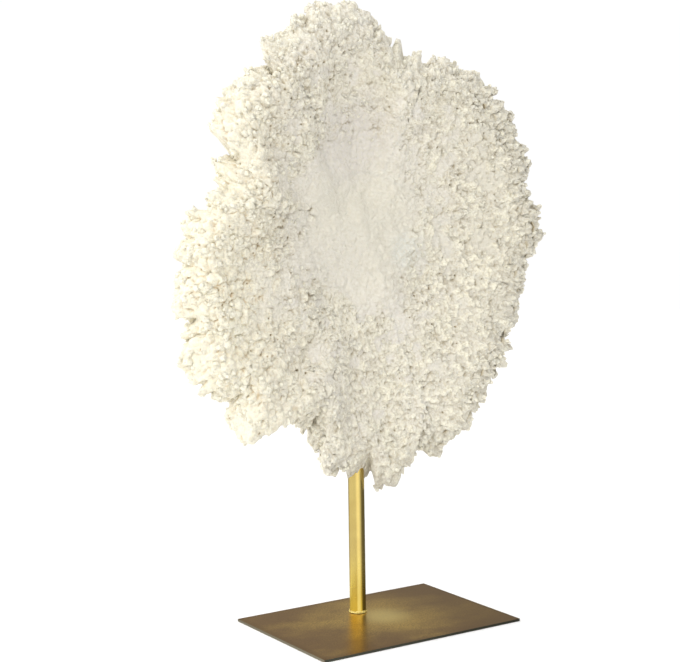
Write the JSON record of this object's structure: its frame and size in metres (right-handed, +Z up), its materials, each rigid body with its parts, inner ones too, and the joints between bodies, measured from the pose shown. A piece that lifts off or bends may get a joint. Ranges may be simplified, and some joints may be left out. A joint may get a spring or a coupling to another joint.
{
  "type": "coral on stand",
  "caption": "Broad knobbly white table coral stood on edge on a round brass rod, which rises from a thin rectangular bronze plate.",
  "frame": {"origin": "centre of the base plate's underside, on the surface that the object stands on", "axes": "+Z up along the rod, X along the plate's long side and across the coral's face, -Y out of the coral's dished front"},
  "size_m": [0.3242, 0.127, 0.4735],
  "materials": {
    "coral": "matt white coral skeleton, creamy at the rim, tan in the crevices",
    "brass": "satin polished brass",
    "weld": "bright uneven solder",
    "plate": "antique bronze patina, mottled brown and gold, semi-gloss"
  },
  "bodies": {
    "root": {"base_plate": "plate", "weld_bead": "weld", "stem_rod": "brass", "coral_heart": "coral", "coral_crown": "coral", "coral_left_shoulder": "coral", "coral_left": "coral", "coral_knuckle": "coral", "coral_foot": "coral", "coral_lower_right": "coral", "coral_right": "coral", "coral_right_shoulder": "coral"}
  },
  "joints": []
}
